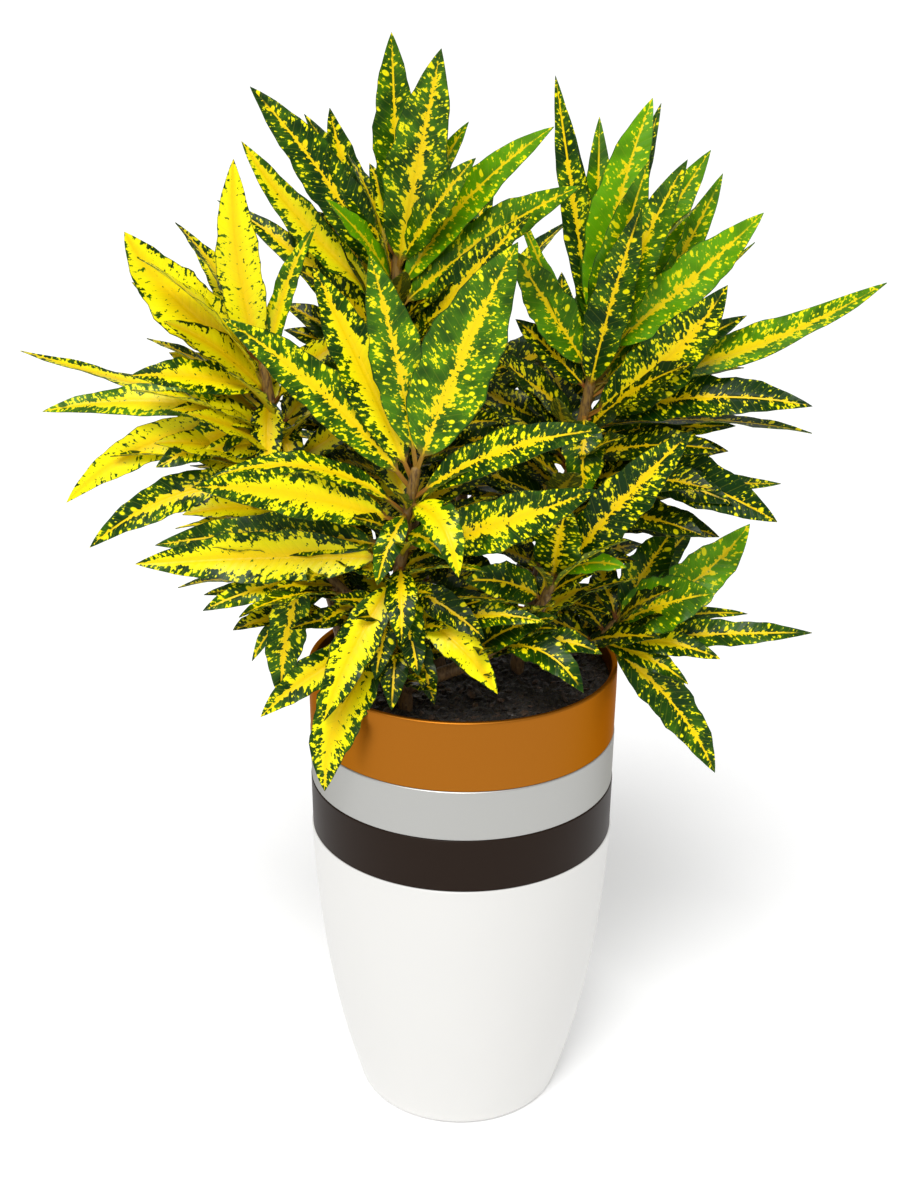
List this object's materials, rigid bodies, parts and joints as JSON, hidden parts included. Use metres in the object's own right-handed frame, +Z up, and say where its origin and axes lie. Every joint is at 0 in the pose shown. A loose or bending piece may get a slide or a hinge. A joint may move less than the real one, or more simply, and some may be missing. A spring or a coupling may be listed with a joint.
{
  "type": "potted croton",
  "caption": "Leafy croton plant with long green and yellow leaves, in a tall round tapered planter with stacked coloured collars.",
  "frame": {"origin": "centre of the flat round foot the planter stands on", "axes": "+Z up, +X to the viewer's right and -Y towards the viewer when the plant is seen from its front"},
  "size_m": [0.6603, 0.409, 0.875],
  "materials": {
    "white_plastic": "smooth, softly glossy white",
    "brown_plastic": "smooth, softly glossy dark brown",
    "silver_plastic": "satin pearly silver grey",
    "copper_plastic": "satin pearly copper",
    "soil": "loose dark potting soil with bark",
    "croton_leaf": "glossy green and yellow leaves"
  },
  "bodies": {
    "root": {"planter_white": "white_plastic", "collar_brown": "brown_plastic", "collar_silver": "silver_plastic", "collar_copper": "copper_plastic", "soil": "soil", "leafy_stem_front": "croton_leaf", "leafy_stem_left": "croton_leaf", "leafy_stem_top": "croton_leaf", "leafy_stem_right": "croton_leaf", "leafy_stem_back": "croton_leaf"}
  },
  "joints": []
}
